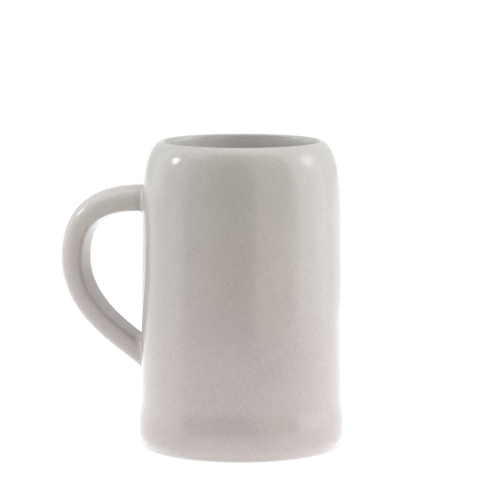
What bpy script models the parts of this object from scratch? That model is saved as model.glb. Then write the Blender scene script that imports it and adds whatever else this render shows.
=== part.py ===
"""A half-litre beer mug of glazed stoneware, with its handle joined on before firing.

The body is turned about Z and stands on z = 0, hollow and open at the top. The handle is a loop in the
XZ plane on the -X side. Body and handle are one piece of clay, so they are one object.
"""

import math

import bmesh
import bpy
import numpy
from mathutils import Vector

# Body, outside, in metres
HEIGHT = 0.136
STANDING_RADIUS = 0.0406
FOOT_RADIUS = 0.0462
FOOT_WIDEST_HEIGHT = 0.0082
FOOT_BLEND_HEIGHT = 0.0153
SIDE_BOTTOM_RADIUS = 0.0448
SIDE_TOP_RADIUS = 0.0440
SHOULDER_HEIGHT = 0.0314
SHOULDER_END_SLOPE = math.radians(25.0)
SHOULDER_FULLNESS = 0.65

# Mouth, hollow and underside, in metres
MOUTH_RADIUS = 0.0340
LIP_ROUNDING = 0.00125
LIP_INNER_DROP = 0.0026
WALL = 0.005
INNER_NECK_SLOPE = math.radians(78.0)
FLOOR_HEIGHT = 0.0065
FLOOR_CORNER = 0.0085
RING_WIDTH = 0.0050
RECESS_DEPTH = 0.0009
RECESS_CHAMFER = 0.0018

# Handle, in metres, as places in the XZ plane seen from its own side
HANDLE_TOP_HEIGHT = 0.1084
HANDLE_TOP_RISE = math.radians(1.2)
HANDLE_TOP_RUN = 0.0294
HANDLE_REACH = 0.0778
HANDLE_REACH_HEIGHT = 0.0813
HANDLE_UPPER_ROUND = 0.0114
HANDLE_LOWER_ROUND = 0.0230
HANDLE_LOW_HEIGHT = 0.0388
HANDLE_LOW_RISE = math.radians(38.4)
HANDLE_LOW_RUN = 0.0145
HANDLE_WIDTH = 0.0160
HANDLE_TOP_THICKNESS = 0.0116
HANDLE_LOW_THICKNESS = 0.0106
HANDLE_MIDDLE_SHARE = 0.42
HANDLE_WIDEST_SHARE = 0.25
HANDLE_OUTER_SQUARENESS = 2.0
HANDLE_INNER_SQUARENESS = 4.5
JOIN_FILLET = 0.0026
JOIN_LENGTH = 0.0120

# How finely round shapes are cut into flat faces
TURN_STEPS = 72
CURVE_STEPS = 7
SHOULDER_STEPS = 9
LIP_STEPS = 6
HANDLE_STEPS = 18
SECTION_STEPS = 24
SHARP_ANGLE = math.radians(25.0)

# Quarter circles drawn as cubic curves reach this far towards their corner
ROUND = 0.5523

GLAZE_COLOUR = (0.44, 0.405, 0.375, 1.0)
GLAZE_ROUGHNESS = 0.16


def clear_scene():
    for thing in list(bpy.data.objects):
        bpy.data.objects.remove(thing, do_unlink=True)


def cubic(start, lean_out, lean_in, end, steps):
    """Points of a cubic Bezier curve, both ends included."""
    points = []
    for i in range(steps + 1):
        t = i / steps
        s = 1.0 - t
        points.append(s**3 * start + 3 * s * s * t * lean_out + 3 * s * t * t * lean_in + t**3 * end)
    return points


def rounded(start, corner, end, fullness, steps):
    """A curve that leaves start towards corner and reaches end coming from corner."""
    lean_out = start.lerp(corner, fullness)
    lean_in = end.lerp(corner, fullness)
    return cubic(start, lean_out, lean_in, end, steps)


def shoulder_curve(side_radius, neck, slope, fullness, steps):
    """From the upright side of a wall up to a neck point, where it slopes inwards at the given angle."""
    side = Vector((side_radius, HEIGHT - SHOULDER_HEIGHT))
    corner = Vector((side_radius, neck.y - (side_radius - neck.x) * math.tan(slope)))
    return rounded(side, corner, neck, fullness, steps)


def lip_point(angle):
    """A point of the lip's edge, its angle counted from the outward horizontal.

    Outside its top the edge is a circle, and inside an ellipse that drops further.
    """
    drop = LIP_INNER_DROP if math.cos(angle) < 0 else LIP_ROUNDING
    return Vector((MOUTH_RADIUS + LIP_ROUNDING * (1 + math.cos(angle)), HEIGHT - drop * (1 - math.sin(angle))))


def lip_end():
    """The angle at which the lip's inner ellipse has reached the slope of the inner neck."""
    return math.pi + math.atan(LIP_INNER_DROP / (LIP_ROUNDING * math.tan(INNER_NECK_SLOPE)))


def outside_profile():
    """Radius and height of the outside, from the edge of the standing ring up to the lip."""
    standing = Vector((STANDING_RADIUS, 0.0))
    widest = Vector((FOOT_RADIUS, FOOT_WIDEST_HEIGHT))
    side_bottom = Vector((SIDE_BOTTOM_RADIUS, FOOT_WIDEST_HEIGHT + FOOT_BLEND_HEIGHT))
    blend = Vector((0.0, FOOT_BLEND_HEIGHT / 2))
    points = rounded(standing, Vector((FOOT_RADIUS, 0.0)), widest, ROUND, CURVE_STEPS)
    points += cubic(widest, widest + blend, side_bottom - blend, side_bottom, CURVE_STEPS)[1:]
    neck = lip_point(math.pi / 2 - SHOULDER_END_SLOPE)
    points += shoulder_curve(SIDE_TOP_RADIUS, neck, SHOULDER_END_SLOPE, SHOULDER_FULLNESS, SHOULDER_STEPS)
    return points


def lip_profile():
    """Over the top of the lip, from the end of the shoulder to the inner neck."""
    first = math.pi / 2 - SHOULDER_END_SLOPE
    last = lip_end()
    return [lip_point(first + (last - first) * i / LIP_STEPS) for i in range(1, LIP_STEPS)]


def hollow_profile():
    """Radius and height of the hollow, from the inner neck down to the edge of its flat floor."""
    neck = lip_point(lip_end())
    points = shoulder_curve(SIDE_TOP_RADIUS - WALL, neck, INNER_NECK_SLOPE, ROUND, SHOULDER_STEPS)[::-1]
    radius = SIDE_BOTTOM_RADIUS - WALL
    corner = Vector((radius, FLOOR_HEIGHT))
    upper = corner + Vector((0.0, FLOOR_CORNER))
    inner = corner - Vector((FLOOR_CORNER, 0.0))
    return points + rounded(upper, corner, inner, ROUND, CURVE_STEPS)


def underside_profile():
    """From the flat recess under the base out to the inner edge of the standing ring."""
    ring_inside = STANDING_RADIUS - RING_WIDTH
    return [Vector((ring_inside - RECESS_CHAMFER, RECESS_DEPTH)), Vector((ring_inside, 0.0))]


def outside_radius(height):
    """Radius of the outside at a height."""
    points = outside_profile()
    return float(numpy.interp(height, [p.y for p in points], [p.x for p in points]))


def finished(name, bm):
    """An object in the scene with the given mesh, shaded smooth except at real edges."""
    mesh = bpy.data.meshes.new(name)
    bm.to_mesh(mesh)
    bm.free()
    mesh.shade_smooth()
    mesh.set_sharp_from_angle(angle=SHARP_ANGLE)
    thing = bpy.data.objects.new(name, mesh)
    bpy.context.scene.collection.objects.link(thing)
    return thing


def turned(name, profile):
    """A solid turned about Z. Its profile's two open ends are closed by flat discs."""
    bm = bmesh.new()
    verts = [bm.verts.new((p.x, 0.0, p.y)) for p in profile]
    edges = [bm.edges.new(pair) for pair in zip(verts, verts[1:])]
    bmesh.ops.spin(bm, geom=verts + edges, cent=(0, 0, 0), axis=(0, 0, 1), angle=2 * math.pi,
                   steps=TURN_STEPS, use_merge=True)
    rims = [edge for edge in bm.edges if edge.is_boundary]
    bmesh.ops.holes_fill(bm, edges=rims, sides=0)
    bmesh.ops.recalc_face_normals(bm, faces=bm.faces)
    return finished(name, bm)


def handle_line():
    """The handle's middle line, as distance from the axis and height, from the top join to the low one."""
    top = Vector((outside_radius(HANDLE_TOP_HEIGHT), HANDLE_TOP_HEIGHT))
    low = Vector((outside_radius(HANDLE_LOW_HEIGHT), HANDLE_LOW_HEIGHT))
    reach = Vector((HANDLE_REACH, HANDLE_REACH_HEIGHT))
    top_way = Vector((math.cos(HANDLE_TOP_RISE), math.sin(HANDLE_TOP_RISE)))
    low_way = Vector((math.cos(HANDLE_LOW_RISE), math.sin(HANDLE_LOW_RISE)))
    upper_lean = reach + Vector((0.0, HANDLE_UPPER_ROUND))
    lower_lean = reach - Vector((0.0, HANDLE_LOWER_ROUND))
    upper = eased(top, top + HANDLE_TOP_RUN * top_way, upper_lean, reach)
    lower = eased(low, low + HANDLE_LOW_RUN * low_way, lower_lean, reach)[::-1]
    buried = WALL + HANDLE_TOP_THICKNESS
    return [top - buried * top_way] + upper + lower[1:] + [low - buried * low_way]


def eased(start, lean_out, lean_in, end):
    """A cubic curve whose points lie closer together at its start, where the join's fillet is."""
    closeness = 1.8
    points = []
    for i in range(HANDLE_STEPS + 1):
        t = (i / HANDLE_STEPS) ** closeness
        s = 1.0 - t
        points.append(s**3 * start + 3 * s * s * t * lean_out + 3 * s * t * t * lean_in + t**3 * end)
    return points


def handle_section(thickness):
    """The handle's section as pairs of a point and its outward direction, x across the thickness.

    Its outer and inner parts are halves of superellipses |x / depth|^n + |y / width|^n = 1, the outer one
    rounder. They meet where the section is widest. The middle line runs at its own share of the thickness.
    """
    inside = HANDLE_WIDEST_SHARE * thickness
    shift = (HANDLE_WIDEST_SHARE - HANDLE_MIDDLE_SHARE) * thickness
    width = HANDLE_WIDTH / 2
    points = []
    for i in range(SECTION_STEPS):
        angle = 2 * math.pi * (i + 0.5) / SECTION_STEPS
        cos, sin = math.cos(angle), math.sin(angle)
        depth = thickness - inside if cos > 0 else inside
        power = HANDLE_OUTER_SQUARENESS if cos > 0 else HANDLE_INNER_SQUARENESS
        point = Vector((shift + math.copysign(abs(cos) ** (2 / power) * depth, cos),
                        math.copysign(abs(sin) ** (2 / power) * width, sin)))
        way = Vector((math.copysign(abs(cos) ** (2 - 2 / power) / depth, cos),
                      math.copysign(abs(sin) ** (2 - 2 / power) / width, sin)))
        points.append((point, way.normalized()))
    return points


def fillet_shift(place, outward):
    """How far a point of the handle moves along the body's wall, so that both meet in a round fillet.

    A ball of radius F that touches the wall and the handle, whose outward directions have the cosine c
    between them, touches the wall at T = F * sqrt((1 - c) / (1 + c)) from their crossing. At a gap g from
    the wall its surface stands T - sqrt(F * F - (F - g) ** 2) + c * g / sqrt(1 - c * c) off the handle.
    """
    distance = math.hypot(place.x, place.y)
    wall_way = Vector((place.x / distance, place.y / distance, 0.0))
    cosine = outward.dot(wall_way)
    sine = math.sqrt(1.0 - cosine**2)
    touch = JOIN_FILLET * math.sqrt((1.0 - cosine) / (1.0 + cosine))
    gap = max(distance - outside_radius(place.z), 0.0)
    if gap >= touch * sine:
        return Vector((0.0, 0.0, 0.0))
    growth = touch - math.sqrt(JOIN_FILLET**2 - (JOIN_FILLET - gap) ** 2) + cosine * gap / sine
    return growth * (outward - cosine * wall_way) / sine


def uprightness(middle):
    """1 where the handle meets the wall, falling to 0 at the join's length away from it."""
    gap = middle.x - outside_radius(middle.y)
    return min(max(1.0 - gap / JOIN_LENGTH, 0.0), 1.0)


def slant(along):
    """The shift along the handle that turns a section square to it into one that stands upright."""
    return along.y / along.x if abs(along.x) > abs(along.y) / 2 else 0.0


def handle_solid():
    """The handle swept along its middle line, with a section that thins towards the low join."""
    line = handle_line()
    lengths = [0.0]
    for before, after in zip(line, line[1:]):
        lengths.append(lengths[-1] + (after - before).length)
    bm = bmesh.new()
    rings = []
    for i, middle in enumerate(line):
        along = (line[min(i + 1, len(line) - 1)] - line[max(i - 1, 0)]).normalized()
        outward = Vector((-along.y, along.x))
        across = outward + uprightness(middle) * slant(along) * along
        share = (lengths[i] / lengths[-1]) ** 2
        thickness = HANDLE_TOP_THICKNESS + (HANDLE_LOW_THICKNESS - HANDLE_TOP_THICKNESS) * share
        ring = []
        for point, way in handle_section(thickness):
            flat = middle + across * point.x
            place = Vector((-flat.x, point.y, flat.y))
            surface_way = Vector((-outward.x * way.x, way.y, outward.y * way.x))
            ring.append(bm.verts.new(place + fillet_shift(place, surface_way)))
        rings.append(ring)
    for one, two in zip(rings, rings[1:]):
        for i in range(len(one)):
            j = (i + 1) % len(one)
            bm.faces.new((one[i], one[j], two[j], two[i]))
    bm.faces.new(rings[0])
    bm.faces.new(rings[-1])
    bmesh.ops.recalc_face_normals(bm, faces=bm.faces)
    return finished("handle_clay", bm)


def wall_core():
    """A solid up to the middle of the wall, which trims the handle's buried ends."""
    heights = [p.y for p in outside_profile() if p.y > FLOOR_HEIGHT]
    return turned("wall_core", [Vector((outside_radius(z) - WALL / 2, z)) for z in heights])


def combine(target, tool, operation):
    """A live Boolean on target. The tool stays in the scene as a hidden guide."""
    modifier = target.modifiers.new(tool.name, "BOOLEAN")
    modifier.operation = operation
    modifier.solver = "EXACT"
    modifier.object = tool
    tool.hide_render = True
    tool.display_type = "WIRE"


def glaze():
    material = bpy.data.materials.new("glazed_stoneware")
    material.use_nodes = True
    shader = material.node_tree.nodes["Principled BSDF"]
    shader.inputs["Base Color"].default_value = GLAZE_COLOUR
    shader.inputs["Roughness"].default_value = GLAZE_ROUGHNESS
    shader.inputs["Metallic"].default_value = 0.0
    return material


def build():
    clear_scene()
    profile = underside_profile() + outside_profile() + lip_profile() + hollow_profile()
    mug = turned("mug", profile)
    mug.data.materials.append(glaze())
    handle = handle_solid()
    combine(handle, wall_core(), "DIFFERENCE")
    combine(mug, handle, "UNION")


build()
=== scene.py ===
"""The looks of a half-litre beer mug of grey glazed stoneware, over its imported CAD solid.

The body is a profile turned about Z, the handle is a section carried along a line, and both are worked out
with numpy as one closed skin of clay, joined in round fillets. All sizes are in metres, in the frame of the
CAD part.
"""

import math

import bpy
import numpy as np
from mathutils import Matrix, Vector


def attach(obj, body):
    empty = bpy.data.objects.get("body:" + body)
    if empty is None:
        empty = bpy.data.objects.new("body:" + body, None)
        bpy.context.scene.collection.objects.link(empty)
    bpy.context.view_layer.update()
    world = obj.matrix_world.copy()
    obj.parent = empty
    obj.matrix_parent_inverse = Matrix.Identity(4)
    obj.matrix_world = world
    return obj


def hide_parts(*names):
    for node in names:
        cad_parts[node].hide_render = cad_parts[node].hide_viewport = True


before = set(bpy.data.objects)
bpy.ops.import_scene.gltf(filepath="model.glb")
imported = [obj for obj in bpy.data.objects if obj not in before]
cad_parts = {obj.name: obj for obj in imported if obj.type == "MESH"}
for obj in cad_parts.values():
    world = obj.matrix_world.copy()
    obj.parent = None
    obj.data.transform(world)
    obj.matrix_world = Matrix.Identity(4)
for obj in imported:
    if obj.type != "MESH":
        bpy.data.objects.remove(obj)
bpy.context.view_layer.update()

# Body, outside
HEIGHT = 0.136
STANDING_RADIUS = 0.0406
FOOT_RADIUS = 0.0462
FOOT_WIDEST_HEIGHT = 0.0082
FOOT_BLEND_HEIGHT = 0.0153
SIDE_BOTTOM_RADIUS = 0.0448
SIDE_TOP_RADIUS = 0.0440
SHOULDER_HEIGHT = 0.0314
SHOULDER_END_SLOPE = math.radians(25.0)
SHOULDER_FULLNESS = 0.65

# Mouth, hollow and underside
MOUTH_RADIUS = 0.0340
LIP_ROUNDING = 0.00125
LIP_INNER_DROP = 0.0026
WALL = 0.005
INNER_NECK_SLOPE = math.radians(78.0)
FLOOR_HEIGHT = 0.0065
FLOOR_CORNER = 0.0085
RING_WIDTH = 0.0050
RECESS_DEPTH = 0.0009
RECESS_CHAMFER = 0.0018
RING_SOFTNESS = 0.0004
RING_INSIDE = STANDING_RADIUS - RING_WIDTH

# Handle, as distance from the axis and height
HANDLE_TOP_HEIGHT = 0.1084
HANDLE_TOP_RISE = math.radians(1.2)
HANDLE_TOP_RUN = 0.0294
HANDLE_REACH = 0.0778
HANDLE_REACH_HEIGHT = 0.0813
HANDLE_UPPER_ROUND = 0.0114
HANDLE_LOWER_ROUND = 0.0230
HANDLE_LOW_HEIGHT = 0.0388
HANDLE_LOW_RISE = math.radians(38.4)
HANDLE_LOW_RUN = 0.0145
HANDLE_WIDTH = 0.0160
HANDLE_TOP_THICKNESS = 0.0116
HANDLE_LOW_THICKNESS = 0.0106
HANDLE_MIDDLE_SHARE = 0.42
HANDLE_WIDEST_SHARE = 0.25
HANDLE_OUTER_SQUARENESS = 2.0
HANDLE_INNER_SQUARENESS = 4.5
JOIN_FILLET = 0.0026
JOIN_REACH = 0.0150

# How finely the skin is cut
TURN_CELLS = 192
HOLE_CELLS = 20
WALL_STEP = 0.00125
LIP_RINGS = 14
HOLLOW_STEP = 0.0022
FLAT_STEP = 0.0050
RING_STEP = 0.0015
SOFT_STEP = 0.0002
FOOT_STEP = 0.0010
FILLET_RINGS = 7
JOIN_RINGS = 9
PATCH_RINGS = 5
HANDLE_STEP = 0.0013
FINE = 600
NEWTON_STEPS = 12
# Within this radius the base and the floor of the hollow are closed by a fan round the axis
POLE_RADIUS = 0.004
# The standing ring's own rows end this far inside the radius where the outside begins
RING_GAP = 0.0004
# The hole for the lower join lies this much above the handle's end
LOW_HOLE_RISE = 0.0018

# Quarter circles drawn as cubic curves reach this far towards their corner
ROUND = 0.5523

# Unevenness of the clay, which fades towards the axis within the given radius. Its waves are (radians per mm
# along X, Y and Z), start, share
WAVER_STRENGTH = 0.00003
WAVER_FADE_RADIUS = 0.01
WAVER_WAVES = (((0.115, 0.0, 0.083), 1.3, 1.0), ((0.0, 0.101, -0.122), 4.1, 1.0),
               ((0.171, -0.140, 0.052), 2.2, 0.8), ((0.0, 0.13, 0.26), 0.4, 0.6))
MILLIMETRE = 0.001

# Glaze: (share of the height, colour), sizes in metres, strengths as shares of the brightness
# Tint by height, pinker towards the foot. The lighter bottom 2 mm are a painted reflection of the white
# floor, and the darker band on the foot's taper, darkest about 9 to 15 mm up, is painted shade
GLAZE_TINT_AND_PAINTED_FOOT_SHADING = (
    (0.0, (0.490, 0.435, 0.417)), (0.014, (0.478, 0.424, 0.406)), (0.040, (0.432, 0.384, 0.367)),
    (0.065, (0.425, 0.378, 0.361)), (0.110, (0.425, 0.378, 0.361)), (0.170, (0.441, 0.392, 0.374)),
    (0.30, (0.442, 0.395, 0.375)), (0.60, (0.441, 0.402, 0.376)), (0.80, (0.436, 0.407, 0.378)),
    (0.95, (0.431, 0.411, 0.381)),
)
# Painted light: the hollow's glaze is made whiter to brighten the inside
INSIDE_PAINTED_LIGHT_TINT = (0.68, 0.675, 0.655, 1.0)
# Painted light and shade on the handle, as light falls from above: its glaze is made a little lighter above
# and darker below: (share of the height, half of the factor)
HANDLE_PAINTED_SHADING = ((0.25, (0.465,) * 3), (0.45, (0.485,) * 3), (0.60, (0.515,) * 3), (0.76, (0.560,) * 3))
# Along X, where the handle's painted light and shade pass into the body's plain glaze
HANDLE_SHADING_START = (-0.0490, -0.0455)
CLOUD_SIZE, CLOUD_STRENGTH, CLOUD_DETAIL = 0.025, 0.06, 2.0
MOTTLE_SIZE, MOTTLE_STRENGTH = 0.0013, 0.10
# Specks: cell size, radius, share of the cells, darkness
SPECKS = ((0.0034, 0.00048, 0.35, 0.22), (0.0014, 0.00028, 0.30, 0.13))
# A speck is full within this share of its radius, and its cell's chance fades over twice the second number
SPECK_CORE, CHANCE_FADE = 0.3, 0.02
GLAZE_ROUGHNESS, ROUGHNESS_CHANGE = 0.12, 0.02
RIPPLE_SIZE, RIPPLE_DEPTH = 0.004, 0.00002
# Bare clay, and the heights and radii over which it passes into glaze round the standing ring
BARE_CLAY = (0.56, 0.47, 0.38, 1.0)
BARE_ROUGHNESS = 0.85
BARE_HEIGHTS = (0.0002, 0.0005)
BARE_INSIDE = (RING_INSIDE - 0.0012, RING_INSIDE - 0.0006)
BARE_OUTSIDE = (STANDING_RADIUS + 0.0004, STANDING_RADIUS + 0.0010)


def bezier(start, lean_out, lean_in, end, count=FINE):
    """Cubic curve: s^3 start + 3 s^2 t lean_out + 3 s t^2 lean_in + t^3 end, with s = 1 - t."""
    t = np.linspace(0.0, 1.0, count)[:, None]
    s = 1.0 - t
    return s**3 * np.array(start) + 3 * s * s * t * np.array(lean_out) + 3 * s * t * t * np.array(lean_in) \
        + t**3 * np.array(end)


def rounded(start, corner, end, fullness):
    """Cubic curve whose two leans lie at the share called fullness of the way to one corner."""
    start, corner, end = np.array(start), np.array(corner), np.array(end)
    return bezier(start, start + fullness * (corner - start), end + fullness * (corner - end), end)


def run_along(line):
    """Length run so far at each point of a line: the sum of the steps before it."""
    return np.concatenate([[0.0], np.cumsum(np.linalg.norm(np.diff(line, axis=0), axis=1))])


def at_run(marks, run, line):
    """The line's points at the marked lengths run, in between its own points in even proportion."""
    return np.stack([np.interp(marks, run, line[:, k]) for k in range(2)], axis=-1)


def spaced(line, step):
    """The line's points again at even distances, as near to step as fills it."""
    run = run_along(line)
    return at_run(np.linspace(0.0, run[-1], max(int(round(run[-1] / step)), 1) + 1), run, line)


def shoulder(side_radius, neck, slope, fullness):
    """From the upright side up to the neck point, where the wall leans inwards at the given slope."""
    side = (side_radius, HEIGHT - SHOULDER_HEIGHT)
    corner = (side_radius, neck[1] - (side_radius - neck[0]) * math.tan(slope))
    return rounded(side, corner, neck, fullness)


def lip(angle):
    """The lip's edge by angle from the outward level: a circle outside its top, a taller ellipse inside."""
    angle = np.asarray(angle)
    drop = np.where(np.cos(angle) < 0, LIP_INNER_DROP, LIP_ROUNDING)
    radius = MOUTH_RADIUS + LIP_ROUNDING * (1 + np.cos(angle))
    return np.stack([radius, HEIGHT - drop * (1 - np.sin(angle))], axis=-1)


# The lip's angles where it leaves the shoulder, and where its ellipse has reached the slope of the inner neck
LIP_START = math.pi / 2 - SHOULDER_END_SLOPE
LIP_END = math.pi + math.atan(LIP_INNER_DROP / (LIP_ROUNDING * math.tan(INNER_NECK_SLOPE)))


def outside_line():
    """Radius and height of the outside, from the standing ring's edge up to the lip."""
    widest = np.array([FOOT_RADIUS, FOOT_WIDEST_HEIGHT])
    side_bottom = np.array([SIDE_BOTTOM_RADIUS, FOOT_WIDEST_HEIGHT + FOOT_BLEND_HEIGHT])
    blend = np.array([0.0, FOOT_BLEND_HEIGHT / 2])
    foot = rounded((STANDING_RADIUS, 0.0), (FOOT_RADIUS, 0.0), widest, ROUND)
    taper = bezier(widest, widest + blend, side_bottom - blend, side_bottom)
    top = shoulder(SIDE_TOP_RADIUS, lip(LIP_START), SHOULDER_END_SLOPE, SHOULDER_FULLNESS)
    return np.concatenate([foot, taper[1:], top])


def hollow_line():
    """Radius and height of the hollow, from the inner neck down to the edge of the flat floor."""
    neck = lip(LIP_END)
    top = shoulder(SIDE_TOP_RADIUS - WALL, neck, INNER_NECK_SLOPE, ROUND)[::-1]
    corner = np.array([SIDE_BOTTOM_RADIUS - WALL, FLOOR_HEIGHT])
    bottom = rounded(corner + [0.0, FLOOR_CORNER], corner, corner - [FLOOR_CORNER, 0.0], ROUND)
    return np.concatenate([top, bottom])


def underside_line():
    """From near the axis under the base, over the recess's chamfer, and across the standing ring."""
    inner, outer = np.array([RING_INSIDE - RECESS_CHAMFER, RECESS_DEPTH]), np.array([RING_INSIDE, 0.0])
    slope = (outer - inner) / np.linalg.norm(outer - inner)
    level = np.array([RING_SOFTNESS, 0.0])
    return [
        spaced(np.array([[POLE_RADIUS, RECESS_DEPTH], inner - level]), FLAT_STEP),
        spaced(rounded(inner - level, inner, inner + RING_SOFTNESS * slope, ROUND), SOFT_STEP)[1:],
        spaced(rounded(outer - RING_SOFTNESS * slope, outer, outer + level, ROUND), SOFT_STEP),
        spaced(np.array([outer + level, [STANDING_RADIUS - RING_GAP, 0.0]]), RING_STEP)[1:],
    ]


OUTSIDE = outside_line()


def wall_radius(height):
    """Radius of the outside at each height, read off its line."""
    return np.interp(height, OUTSIDE[:, 1], OUTSIDE[:, 0])


def on_wall(turn, height, gap=0.0):
    """Places at a gap off the outside wall: radius = wall radius + gap, turned about Z from +X."""
    radius = wall_radius(height) + gap
    return np.stack([radius * np.cos(turn), radius * np.sin(turn), height], axis=-1)


def handle_line():
    """The handle's middle line from join to join, and straight on into the wall at both ends.

    Returns the length run from the top join, the points and the unit directions, and the whole length.
    """
    top = np.array([wall_radius(HANDLE_TOP_HEIGHT), HANDLE_TOP_HEIGHT])
    low = np.array([wall_radius(HANDLE_LOW_HEIGHT), HANDLE_LOW_HEIGHT])
    reach = np.array([HANDLE_REACH, HANDLE_REACH_HEIGHT])
    top_way = np.array([math.cos(HANDLE_TOP_RISE), math.sin(HANDLE_TOP_RISE)])
    low_way = np.array([math.cos(HANDLE_LOW_RISE), math.sin(HANDLE_LOW_RISE)])
    upper = bezier(top, top + HANDLE_TOP_RUN * top_way, reach + [0.0, HANDLE_UPPER_ROUND], reach)
    lower = bezier(reach, reach - [0.0, HANDLE_LOWER_ROUND], low + HANDLE_LOW_RUN * low_way, low)
    curve = np.concatenate([upper, lower[1:]])
    buried = WALL + HANDLE_TOP_THICKNESS
    line = np.concatenate([[top - buried * top_way], curve, [low - buried * low_way]])
    run = run_along(line) - buried
    even = np.linspace(run[0], run[-1], 4 * FINE)
    line = at_run(even, run, line)
    way = np.gradient(line, even, axis=0)
    return even, line, way / np.linalg.norm(way, axis=1)[:, None], run[-1] - buried


RUN, LINE, WAY, HANDLE_LENGTH = handle_line()


def signed_power(value, power):
    """The value's size raised to the power, with the value's own sign."""
    return np.sign(value) * np.abs(value) ** power


def section_at(angle):
    """Shares of the depth and the half width at an angle of the handle's section, and its outward direction.

    Each half is a superellipse |x|^n + |y|^n = 1, rounder outside than inside. x = cos^(2/n), y = sin^(2/n),
    and outwards cos^(2 - 2/n) and sin^(2 - 2/n), each with the sign of its cosine or sine.
    """
    cos, sin = np.cos(angle), np.sin(angle)
    power = 2 / np.where(cos > 0, HANDLE_OUTER_SQUARENESS, HANDLE_INNER_SQUARENESS)
    return (signed_power(cos, power), signed_power(sin, power),
            signed_power(cos, 2 - power), signed_power(sin, 2 - power))


def handle_section():
    """The section's shares and directions at the handle's lines.

    The lines are spread evenly along each of four sides between the diagonals, from the outer +Y diagonal on.
    """
    angle = np.linspace(0.0, 2 * math.pi, 8 * FINE + 1) + math.pi / 4
    depth, width, _, _ = section_at(angle)
    run = run_along(np.stack([depth * HANDLE_TOP_THICKNESS / 2, width * HANDLE_WIDTH / 2], axis=1))
    corners = run[:: 2 * FINE]
    marks = np.interp(np.arange(4 * HOLE_CELLS) / HOLE_CELLS, np.arange(5), corners)
    return section_at(np.interp(marks, run, angle))


DEPTH_SHARE, WIDTH_SHARE, DEPTH_WAY, WIDTH_WAY = handle_section()


def in_space(flat, beside):
    """From the handle's own plane to space: X = minus the distance from the axis, Y = beside, Z = height."""
    return np.stack([-flat[..., 0], beside, flat[..., 1]], axis=-1)


def handle_skin(run):
    """Places and outward directions of the handle's skin at the length run of each of its lines, and its way.

    Place = line + across * depth + Y * half width, where the line runs at its own share of the thickness, and
    the section is widest at another. The thickness falls with the square of the share run.
    """
    middle, way = at_run(run, RUN, LINE), at_run(run, RUN, WAY)
    across = np.stack([-way[..., 1], way[..., 0]], axis=-1)
    share = (run - RUN[0]) / (RUN[-1] - RUN[0])
    thickness = HANDLE_TOP_THICKNESS + (HANDLE_LOW_THICKNESS - HANDLE_TOP_THICKNESS) * share**2
    inside = thickness * HANDLE_WIDEST_SHARE
    reach = np.where(DEPTH_SHARE > 0, thickness - inside, inside)
    depth = DEPTH_SHARE * reach + (HANDLE_WIDEST_SHARE - HANDLE_MIDDLE_SHARE) * thickness
    width = np.broadcast_to(WIDTH_SHARE * HANDLE_WIDTH / 2, run.shape)
    width_way = np.broadcast_to(WIDTH_WAY / (HANDLE_WIDTH / 2), run.shape)
    outward = in_space(across * (DEPTH_WAY / reach)[..., None], width_way)
    return (in_space(middle + across * depth[..., None], width),
            outward / np.linalg.norm(outward, axis=-1)[..., None],
            in_space(way, np.zeros_like(run)))


def run_at_gap(gap, start):
    """Length run at which each line of the handle stands the given gap off the wall, by Newton's steps."""
    run = np.full(np.shape(gap), start)
    for _ in range(NEWTON_STEPS):
        place, _, along = handle_skin(run)
        distance = np.hypot(place[..., 0], place[..., 1])
        slope = (along[..., 0] * place[..., 0] + along[..., 1] * place[..., 1]) / distance
        run = run + (gap - (distance - wall_radius(place[..., 2]))) / slope
    return run


def join_rings(start, hole_turn, hole_height):
    """Rings of one join, from the hole in the wall's grid out to the handle's free part.

    A ball of radius F rolls between wall and handle. With c the cosine between their outward directions it
    touches the handle at the gap F * (1 - c). At the ball's angle b the skin is at the gap F * (1 - cos b),
    and it is moved along the wall by T - F * sin b + c * gap / sine, where T = F * sqrt((1 - c) / (1 + c)).
    Before that come rings on the wall itself, evenly between the hole's edge and the fillet's foot. After it
    the lines run on at even steps to the same length run.
    """
    count = len(DEPTH_SHARE)
    foot_run = run_at_gap(np.zeros(count), start)
    place, outward, _ = handle_skin(foot_run)
    distance = np.hypot(place[:, 0], place[:, 1])
    wall_way = np.stack([place[:, 0] / distance, place[:, 1] / distance, np.zeros(count)], axis=1)
    cosine = (outward * wall_way).sum(axis=1)
    sine = np.sqrt(1 - cosine**2)
    touch = JOIN_FILLET * np.sqrt((1 - cosine) / (1 + cosine))
    turn_way = (-outward[:, 0] * wall_way[:, 1] + outward[:, 1] * wall_way[:, 0]) / sine
    height_way = outward[:, 2] / sine
    ball = np.linspace(0.0, 1.0, FILLET_RINGS + 1)[:, None] * np.arccos(cosine)
    gap = JOIN_FILLET * (1 - np.cos(ball))
    run = run_at_gap(gap, start)
    place, _, _ = handle_skin(run)
    shift = touch - JOIN_FILLET * np.sin(ball) + cosine * gap / sine
    turn = np.arctan2(place[..., 1], place[..., 0]) % (2 * math.pi)
    turn = turn + shift * turn_way / np.hypot(place[..., 0], place[..., 1])
    height = place[..., 2] + shift * height_way
    fillet = on_wall(turn, height, gap)
    share = np.linspace(0.0, 1.0, PATCH_RINGS + 1)[1:-1, None]
    patch = on_wall(hole_turn + share * (turn[0] - hole_turn),
                    hole_height + share * (height[0] - hole_height))
    free = start + math.copysign(JOIN_REACH, HANDLE_LENGTH / 2 - start)
    share = np.linspace(0.0, 1.0, JOIN_RINGS + 1)[1:, None]
    lines, _, _ = handle_skin(run[-1] + share * (free - run[-1]))
    return np.concatenate([patch, fillet, lines])


def waver(place):
    """Slight unevenness of the hand-finished clay: each place moves away from the axis by strength * wave.

    The wave is the sum of share * sin(x, y and z in mm times their wave numbers + start).
    """
    x, y, z = (place / MILLIMETRE).T
    wave = sum(share * np.sin(along_x * x + along_y * y + along_z * z + start)
               for (along_x, along_y, along_z), start, share in WAVER_WAVES)
    way = place * [1, 1, 0]
    way = way / np.maximum(np.linalg.norm(way, axis=1), WAVER_FADE_RADIUS)[:, None]
    return place + WAVER_STRENGTH * wave[:, None] * way


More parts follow.
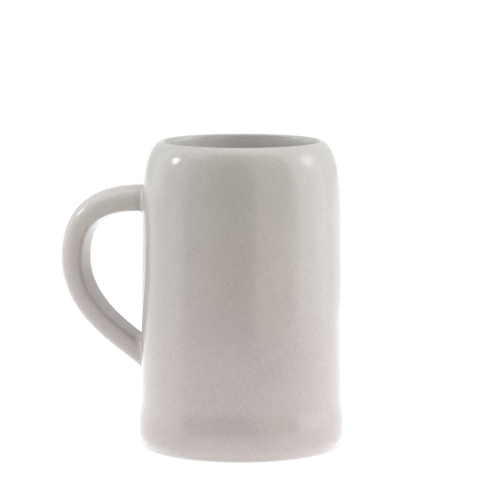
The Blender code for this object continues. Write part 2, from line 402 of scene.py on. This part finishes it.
def skin_rows():
    """Radius and height of each row of the turned skin: under the base, up the outside, down to the floor.

    Also gives how far each row belongs to the inside, which is 0 up to the lip's top and rises to 1 over its
    inner edge, and the numbers of the rows on the outside.
    """
    under = underside_line()
    foot, side = OUTSIDE[:FINE], OUTSIDE[FINE - 1:]
    outside = np.concatenate([spaced(foot, FOOT_STEP), spaced(side, WALL_STEP)[1:]])
    edge = lip(np.linspace(LIP_START, LIP_END, LIP_RINGS + 1))[1:]
    hollow = spaced(hollow_line(), HOLLOW_STEP)[1:]
    floor = spaced(np.array([hollow[-1], [POLE_RADIUS, FLOOR_HEIGHT]]), FLAT_STEP)[1:]
    before = sum(len(part) for part in under)
    inner_edge = np.clip(np.linspace(-1.0, 1.0, len(edge)), 0.0, 1.0)
    inside = np.concatenate([np.zeros(before + len(outside)), inner_edge, np.ones(len(hollow) + len(floor))])
    return np.concatenate(under + [outside, edge, hollow, floor]), inside, before + np.arange(len(outside))


def closed_quads(number):
    """Quads between the neighbouring rows of a table of place numbers, each row closed into a ring."""
    beside = np.roll(number, -1, 1)
    return np.stack([number[:-1], beside[:-1], beside[1:], number[1:]], axis=-1)


def mug_skin():
    """All places and faces of the clay: the turned grid with two holes, and the handle between them.

    Grid place = (radius * cos turn, radius * sin turn, height). Each hole's edge is walked in the order of
    the handle's lines, from the corner on their outer +Y side, so the rings join on to it. Fans round the
    axis close the skin. Also gives how far each place belongs to the inside, from 0 to 1.
    """
    rows, row_inside, outside = skin_rows()
    turns = np.arange(TURN_CELLS) * (2 * math.pi / TURN_CELLS)
    grid = np.stack([rows[:, :1] * np.cos(turns), rows[:, :1] * np.sin(turns),
                     np.broadcast_to(rows[:, 1:], (len(rows), TURN_CELLS))], axis=-1)
    number = np.arange(len(rows) * TURN_CELLS).reshape(len(rows), TURN_CELLS)
    faces = closed_quads(number)
    keep = np.ones(faces.shape[:2], bool)
    west = TURN_CELLS // 2 - HOLE_CELLS // 2
    east = west + HOLE_CELLS
    cell = np.arange(HOLE_CELLS)
    column = np.concatenate([np.full(HOLE_CELLS, west), west + cell, np.full(HOLE_CELLS, east), east - cell])
    edges = []
    for height, down in ((HANDLE_TOP_HEIGHT, 1), (HANDLE_LOW_HEIGHT + LOW_HOLE_RISE, -1)):
        south = outside[np.argmin(np.abs(rows[outside, 1] - height))] - HOLE_CELLS // 2
        north = south + HOLE_CELLS
        keep[south:north, west:east] = False
        first, last = (north, south)[::down]
        edges.append(np.concatenate([first - down * cell, np.full(HOLE_CELLS, last),
                                     last + down * cell, np.full(HOLE_CELLS, first)]))
    top_row, low_row = edges
    top = join_rings(0.0, turns[column], rows[top_row, 1])
    low = join_rings(HANDLE_LENGTH, turns[column], rows[low_row, 1])[::-1]
    middle_runs = np.linspace(JOIN_REACH, HANDLE_LENGTH - JOIN_REACH,
                              int((HANDLE_LENGTH - 2 * JOIN_REACH) / HANDLE_STEP) + 1)[1:-1]
    middle, _, _ = handle_skin(np.repeat(middle_runs[:, None], len(DEPTH_SHARE), axis=1))
    rings = np.concatenate([top, middle, low])
    ring_number = number.size + np.arange(rings.shape[0] * rings.shape[1]).reshape(rings.shape[:2])
    ring_number = np.concatenate([[number[top_row, column]], ring_number, [number[low_row, column]]])
    poles = [[0, 0, RECESS_DEPTH], [0, 0, FLOOR_HEIGHT]]
    places = np.concatenate([grid.reshape(-1, 3), rings.reshape(-1, 3), poles])
    under_pole, floor_pole = len(places) - 2, len(places) - 1
    beside = np.roll(number, -1, 1)
    fans = np.concatenate([
        np.stack([np.full(TURN_CELLS, under_pole), beside[0], number[0]], axis=1),
        np.stack([np.full(TURN_CELLS, floor_pole), number[-1], beside[-1]], axis=1)])
    quads = np.concatenate([faces[keep], closed_quads(ring_number).reshape(-1, 4)])
    ring_inside = np.zeros(rings.shape[0] * rings.shape[1])
    inside = np.concatenate([np.repeat(row_inside, TURN_CELLS), ring_inside, [0, 1]])
    return places, inside, [quads, fans]


def made(name, places, polygons, **values):
    """An object at the origin from places and arrays of polygons, leaving out places that no polygon uses.

    Further named arrays hold a value for each place, and become the mesh's attributes.
    """
    used = np.zeros(len(places), bool)
    for group in polygons:
        used[group] = True
    renumber = np.cumsum(used) - 1
    mesh = bpy.data.meshes.new(name)
    corners = np.concatenate([renumber[group].ravel() for group in polygons])
    sizes = np.concatenate([np.full(len(group), group.shape[1]) for group in polygons])
    mesh.vertices.add(int(used.sum()))
    mesh.vertices.foreach_set("co", places[used].astype(np.float32).ravel())
    mesh.loops.add(len(corners))
    mesh.loops.foreach_set("vertex_index", corners.astype(np.int32))
    mesh.polygons.add(len(sizes))
    mesh.polygons.foreach_set("loop_start", np.concatenate([[0], np.cumsum(sizes)[:-1]]).astype(np.int32))
    mesh.update(calc_edges=True)
    mesh.validate()
    mesh.shade_smooth()
    for key, numbers in values.items():
        layer = mesh.attributes.new(key, "FLOAT", "POINT")
        layer.data.foreach_set("value", numbers[used].astype(np.float32))
    thing = bpy.data.objects.new(name, mesh)
    bpy.context.scene.collection.objects.link(thing)
    return thing


class Graph:
    """Short calls for making and joining the nodes of one node tree."""

    def __init__(self, tree):
        self.tree = tree

    def node(self, kind, values=(), **settings):
        """A node with its settings, and with its inputs filled by links or by numbers."""
        node = self.tree.nodes.new("ShaderNode" + kind)
        for name, value in settings.items():
            setattr(node, name, value)
        for name, value in dict(values).items():
            if isinstance(value, bpy.types.NodeSocket):
                self.tree.links.new(value, node.inputs[name])
            else:
                node.inputs[name].default_value = value
        return node

    def math(self, operation, first, second=0.0, third=0.0):
        """One number from up to three."""
        return self.node("Math", {0: first, 1: second, 2: third}, operation=operation).outputs[0]

    def mix(self, share, first, second):
        """Number that goes from first to second as share goes from 0 to 1."""
        return self.node("Mix", {0: share, 2: first, 3: second}).outputs[0]

    def blend(self, share, first, second):
        """Colour that goes from first to second as share goes from 0 to 1."""
        return self.node("Mix", {0: share, 6: first, 7: second}, data_type="RGBA").outputs[2]

    def dot(self, first, second):
        """Dot product of two vectors."""
        return self.node("VectorMath", {0: first, 1: second}, operation="DOT_PRODUCT").outputs["Value"]

    def length(self, vector):
        """Length of a vector."""
        return self.node("VectorMath", {0: vector}, operation="LENGTH").outputs["Value"]

    def scaled(self, colour, factor):
        """Colour times a number."""
        return self.node("VectorMath", {0: colour, "Scale": factor}, operation="SCALE").outputs["Vector"]

    def step(self, value, low, high, start=0.0, end=1.0):
        """Smooth rise from start to end while value goes from low to high."""
        values = {"Value": value, "From Min": low, "From Max": high, "To Min": start, "To Max": end}
        return self.node("MapRange", values, interpolation_type="SMOOTHSTEP").outputs[0]

    def noise(self, place, size, detail=1.0):
        """Even random waves of about the given size, from 0 to 1."""
        return self.node("TexNoise", {"Vector": place, "Scale": 1 / size, "Detail": detail}).outputs["Fac"]

    def ramp(self, value, stops):
        """Colour by value, through (place, colour) stops."""
        node = self.node("ValToRGB", {0: value})
        elements = node.color_ramp.elements
        for element, (place, colour) in ((elements[0], stops[0]), (elements[1], stops[-1])):
            element.position = place
            element.color = (*colour, 1.0)
        for place, colour in stops[1:-1]:
            elements.new(place).color = (*colour, 1.0)
        return node.outputs[0]


def glaze():
    """Clear gloss over warm grey stoneware, pinker towards the foot, with clouds, mottling and specks.

    Colour = tint * lift * (1 + clouds + mottling) * (1 - specks). The tint goes by height and is pinker
    towards the foot.
    It also holds a painted reflection of the floor as a lighter bottom edge, and painted shade as a darker
    band on the foot's taper. It passes to a whiter one, painted light, by the share that each place belongs
    to the inside. The lift is 1 on the body, and on the handle it is painted light and shade by height,
    lighter above and darker below. The roughness follows the clouds. The standing ring, where z is nearly 0
    and the radius lies within the ring, is bare clay. The bump is a slow ripple of the glaze.
    """
    material = bpy.data.materials.new("glazed_stoneware")
    material.use_nodes = True
    graph = Graph(material.node_tree)
    shader = graph.tree.nodes["Principled BSDF"]
    place = graph.node("TexCoord").outputs["Object"]
    axes = graph.node("SeparateXYZ", {0: place})
    height = axes.outputs["Z"]
    height_share = graph.math("DIVIDE", height, HEIGHT)
    clouds = graph.noise(place, CLOUD_SIZE, CLOUD_DETAIL)
    mottle = graph.noise(place, MOTTLE_SIZE)
    level = graph.math("ADD", graph.math("MULTIPLY_ADD", clouds, 2 * CLOUD_STRENGTH, 1 - CLOUD_STRENGTH),
                       graph.math("MULTIPLY_ADD", mottle, 2 * MOTTLE_STRENGTH, -MOTTLE_STRENGTH))
    for size, reach, share, strength in SPECKS:
        cells = graph.node("TexVoronoi", {"Vector": place, "Scale": 1 / size})
        chance = graph.node("SeparateXYZ", {0: cells.outputs["Color"]}).outputs["X"]
        chosen = graph.step(chance, share - CHANCE_FADE, share + CHANCE_FADE, 1.0, 0.0)
        spot = graph.step(cells.outputs["Distance"], SPECK_CORE * reach / size, reach / size, 1.0, 0.0)
        dark = graph.math("MULTIPLY", graph.math("MULTIPLY", spot, chosen), strength)
        level = graph.math("MULTIPLY", level, graph.math("SUBTRACT", 1.0, dark))
    inside = graph.node("Attribute", attribute_name="inside").outputs["Fac"]
    # Tint by height with a painted reflection and painted shade at the foot, passing to a whiter tint inside
    # as painted light
    tint_and_painted_light = graph.blend(inside, graph.ramp(height_share, GLAZE_TINT_AND_PAINTED_FOOT_SHADING), INSIDE_PAINTED_LIGHT_TINT)
    # Painted light and shade on the handle: lighter above, darker below
    handle = graph.step(axes.outputs["X"], *HANDLE_SHADING_START, 1.0, 0.0)
    lift = graph.math("MULTIPLY", graph.ramp(height_share, HANDLE_PAINTED_SHADING), 2.0)
    colour = graph.scaled(graph.scaled(tint_and_painted_light, graph.mix(handle, 1.0, lift)), level)
    flat = graph.node("VectorMath", {0: place, 1: (1.0, 1.0, 0.0)}, operation="MULTIPLY").outputs["Vector"]
    radius = graph.length(flat)
    bare = graph.math("MULTIPLY", graph.step(height, *BARE_HEIGHTS, 1.0, 0.0),
                      graph.step(radius, *BARE_INSIDE))
    bare = graph.math("MULTIPLY", bare, graph.step(radius, *BARE_OUTSIDE, 1.0, 0.0))
    gloss = graph.math("MULTIPLY_ADD", clouds, 2 * ROUGHNESS_CHANGE, GLAZE_ROUGHNESS - ROUGHNESS_CHANGE)
    ripple = graph.noise(place, RIPPLE_SIZE)
    bump = graph.node("Bump", {"Strength": 1.0, "Distance": RIPPLE_DEPTH, "Height": ripple})
    graph.tree.links.new(graph.blend(bare, colour, BARE_CLAY), shader.inputs["Base Color"])
    graph.tree.links.new(graph.mix(bare, gloss, BARE_ROUGHNESS), shader.inputs["Roughness"])
    graph.tree.links.new(bump.outputs["Normal"], shader.inputs["Normal"])
    return material


places, inside, polygons = mug_skin()
mug = made("glazed_mug", waver(places), polygons, inside=inside)
mug.data.materials.append(glaze())
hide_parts("mug")
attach(mug, "root")

# Camera, with its focal length in pixels, and the place of the picture's middle in pixels to the right of and
# above the aimed point
VIEW_TURN = math.radians(16.5)
VIEW_LIFT = math.radians(8.13)
VIEW_DISTANCE = 1.3314
AIM = Vector((0.0, 0.0, 0.06657))
FOCAL_PIXELS = 2989.7
PICTURE_PIXELS = 480
SENSOR_WIDTH = 36.0
PIXELS_RIGHT, PIXELS_UP = -1.5, 56.06
away = Vector((math.sin(VIEW_TURN) * math.cos(VIEW_LIFT), -math.cos(VIEW_TURN) * math.cos(VIEW_LIFT),
               math.sin(VIEW_LIFT)))
right = Vector((math.cos(VIEW_TURN), math.sin(VIEW_TURN), 0.0))
camera_side = Vector((math.sin(VIEW_TURN), -math.cos(VIEW_TURN), 0.0))
lens = bpy.data.cameras.new("camera")
camera = bpy.data.objects.new("camera", lens)
bpy.context.scene.collection.objects.link(camera)
lens.sensor_width = SENSOR_WIDTH
lens.lens = FOCAL_PIXELS / PICTURE_PIXELS * SENSOR_WIDTH
camera.location = AIM + VIEW_DISTANCE * away
pixel = 1 / FOCAL_PIXELS
look = -away + (PIXELS_RIGHT * pixel) * right + (PIXELS_UP * pixel) * right.cross(-away)
camera.rotation_mode = "QUATERNION"
camera.rotation_quaternion = look.to_track_quat("-Z", "Y")
lens.clip_start = 0.05
lens.clip_end = 20.0
bpy.context.scene.camera = camera

# Studio: soft light from all round, weakest on the camera's side. Each band is a list of (turn in degrees
# from the camera's side towards the picture's right, brightness)
LOW_LIGHT = (
    (-180, 1.15), (-130, 1.35), (-100, 1.50), (-80, 1.85), (-72, 1.50), (-65, 0.72), (-32, 0.65), (-18, 0.36),
    (12, 0.20), (19, 1.20), (60, 0.92), (71, 2.40), (112, 2.30), (120, 1.48), (145, 1.30), (180, 1.10),
)
MIDDLE_LIGHT = (
    (-180, 0.85), (-138, 0.90), (-125, 1.92), (-104, 1.85), (-96, 1.45), (-80, 1.80), (-72, 1.40),
    (-65, 0.65), (-32, 0.42), (-18, 0.10), (12, 0.05), (19, 0.95), (60, 0.50), (71, 2.45), (112, 2.30),
    (120, 1.35), (145, 0.90), (180, 0.85),
)
HIGH_LIGHT = (
    (-180, 1.00), (-138, 1.05), (-125, 2.10), (-66, 2.30), (-60, 1.00), (-32, 0.85), (-18, 0.52), (12, 0.45),
    (19, 1.05), (60, 1.00), (66, 2.20), (112, 2.05), (120, 1.38), (145, 1.05), (180, 1.00),
)
TOP_LIGHT = 2.3
# Heights in degrees over which one band passes into the next
LOW_TO_MIDDLE = (-4.0, 0.0)
MIDDLE_TO_HIGH = (32.0, 44.0)
HIGH_TO_TOP = (58.0, 70.0)
# The colour ramps hold brightness as shares of this
FULL_LIGHT = 3.0
# What the camera itself sees behind the mug is plain white
SEEN_LIGHT, SEEN_TONE = 1.0, (1.0, 1.0, 1.0, 1.0)
# Light from the camera's side is warm, and light from the other sides a little cool. It passes over by the
# cosine of the angle from the camera's side
WARM_LIGHT, COOL_LIGHT = (1.12, 1.0, 0.90, 1.0), (0.975, 1.0, 1.025, 1.0)
WARM_COSINES = (0.3, 0.8)
# Small lights: turn and height in degrees, half their width, brightness. Their edge is soft between these
# shares of that half
SMALL_LIGHTS = ((-97.0, 26.0, 5.0, 9.0), (96.0, 26.0, 9.0, 2.4))
SMALL_LIGHT_EDGE = (0.7, 1.3)

# Floor of pale paper
FLOOR_RADIUS, FLOOR_CORNERS = 0.45, 96
PAPER_COLOUR, PAPER_ROUGHNESS = (0.785, 0.80, 0.815, 1.0), 0.9
GLOW_COLOUR = (0.98, 1.0, 1.02, 1.0)
NEAR_GLOW, FAR_GLOW = 0.60, 0.35
NEAR_RADIUS = (0.085, 0.115)
# The far glow ends over these cosines of the angle from the camera's side. The least radius keeps the cosine
# finite at the axis
FAR_COSINES = (0.2, 0.8)
LEAST_RADIUS = 0.01
# The floor that the camera itself sees glows a little less near the foot, which leaves a faint shadow
SEEN_GLOW, SEEN_RADIUS = 0.25, (0.040, 0.075)


def studio_world():
    """Plain white for the camera. As light: brightness by turn in three bands of height, a top, small lights.

    Each small light adds its brightness where the angle from its centre is small. The light's colour goes
    from cool to warm by the cosine of the angle from the camera's side.
    """
    world = bpy.data.worlds.new("studio")
    world.use_nodes = True
    graph = Graph(world.node_tree)
    way = graph.node("TexCoord").outputs["Generated"]
    near_camera = graph.dot(way, tuple(camera_side))
    turn = graph.math("ARCTAN2", graph.dot(way, tuple(right)), near_camera)
    place = graph.math("ADD", graph.math("DIVIDE", turn, 2 * math.pi), 0.5)
    height = graph.math("MULTIPLY", graph.math("ARCSINE", graph.dot(way, (0.0, 0.0, 1.0))), 180 / math.pi)
    low, middle, high = (
        graph.math("MULTIPLY", graph.ramp(place, [((degrees + 180) / 360, (level / FULL_LIGHT,) * 3)
                                                  for degrees, level in band]), FULL_LIGHT)
        for band in (LOW_LIGHT, MIDDLE_LIGHT, HIGH_LIGHT))
    light = graph.mix(graph.step(height, *LOW_TO_MIDDLE), low, middle)
    light = graph.mix(graph.step(height, *MIDDLE_TO_HIGH), light, high)
    light = graph.mix(graph.step(height, *HIGH_TO_TOP), light, TOP_LIGHT)
    for degrees, lift, half, level in SMALL_LIGHTS:
        degrees, lift = math.radians(degrees), math.radians(lift)
        flat = camera_side * math.cos(degrees) + right * math.sin(degrees)
        centre = flat * math.cos(lift) + Vector((0, 0, math.sin(lift)))
        inner, outer = (math.cos(math.radians(half * share)) for share in SMALL_LIGHT_EDGE)
        light = graph.math("ADD", light, graph.step(graph.dot(way, tuple(centre)), outer, inner, 0.0, level))
    seen = graph.node("LightPath").outputs["Is Camera Ray"]
    tone = graph.blend(graph.step(near_camera, *WARM_COSINES), COOL_LIGHT, WARM_LIGHT)
    background = graph.tree.nodes["Background"]
    graph.tree.links.new(graph.blend(seen, tone, SEEN_TONE), background.inputs["Color"])
    graph.tree.links.new(graph.mix(seen, light, SEEN_LIGHT), background.inputs["Strength"])
    return world


def white_floor():
    """A round white floor with a soft glow round the foot, which keeps the mug's shadow faint.

    Glow = the near one by distance from the axis, and farther out the far one, except on the camera's side.
    For the camera itself it is the seen one next to the foot, and then the near one.
    """
    turns = np.arange(FLOOR_CORNERS) * (2 * math.pi / FLOOR_CORNERS)
    rim = FLOOR_RADIUS * np.stack([np.cos(turns), np.sin(turns), np.zeros(FLOOR_CORNERS)], axis=1)
    thing = made("floor", rim, [np.arange(FLOOR_CORNERS)[None, :]])
    paper = bpy.data.materials.new("white_paper")
    paper.use_nodes = True
    graph = Graph(paper.node_tree)
    shader = graph.tree.nodes["Principled BSDF"]
    shader.inputs["Base Color"].default_value = PAPER_COLOUR
    shader.inputs["Roughness"].default_value = PAPER_ROUGHNESS
    shader.inputs["Specular IOR Level"].default_value = 0.0
    shader.inputs["Emission Color"].default_value = GLOW_COLOUR
    place = graph.node("TexCoord").outputs["Object"]
    reach = graph.length(place)
    side = graph.dot(place, tuple(camera_side))
    cosine = graph.math("DIVIDE", side, graph.math("MAXIMUM", reach, LEAST_RADIUS))
    far = graph.step(cosine, *FAR_COSINES, FAR_GLOW, 0.0)
    glow = graph.step(reach, *NEAR_RADIUS, NEAR_GLOW, far)
    seen_glow = graph.step(reach, *SEEN_RADIUS, SEEN_GLOW, NEAR_GLOW)
    seen = graph.node("LightPath").outputs["Is Camera Ray"]
    graph.tree.links.new(graph.mix(seen, glow, seen_glow), shader.inputs["Emission Strength"])
    thing.data.materials.append(paper)


white_floor()
bpy.context.scene.world = studio_world()
bpy.context.scene.view_settings.view_transform = "Standard"
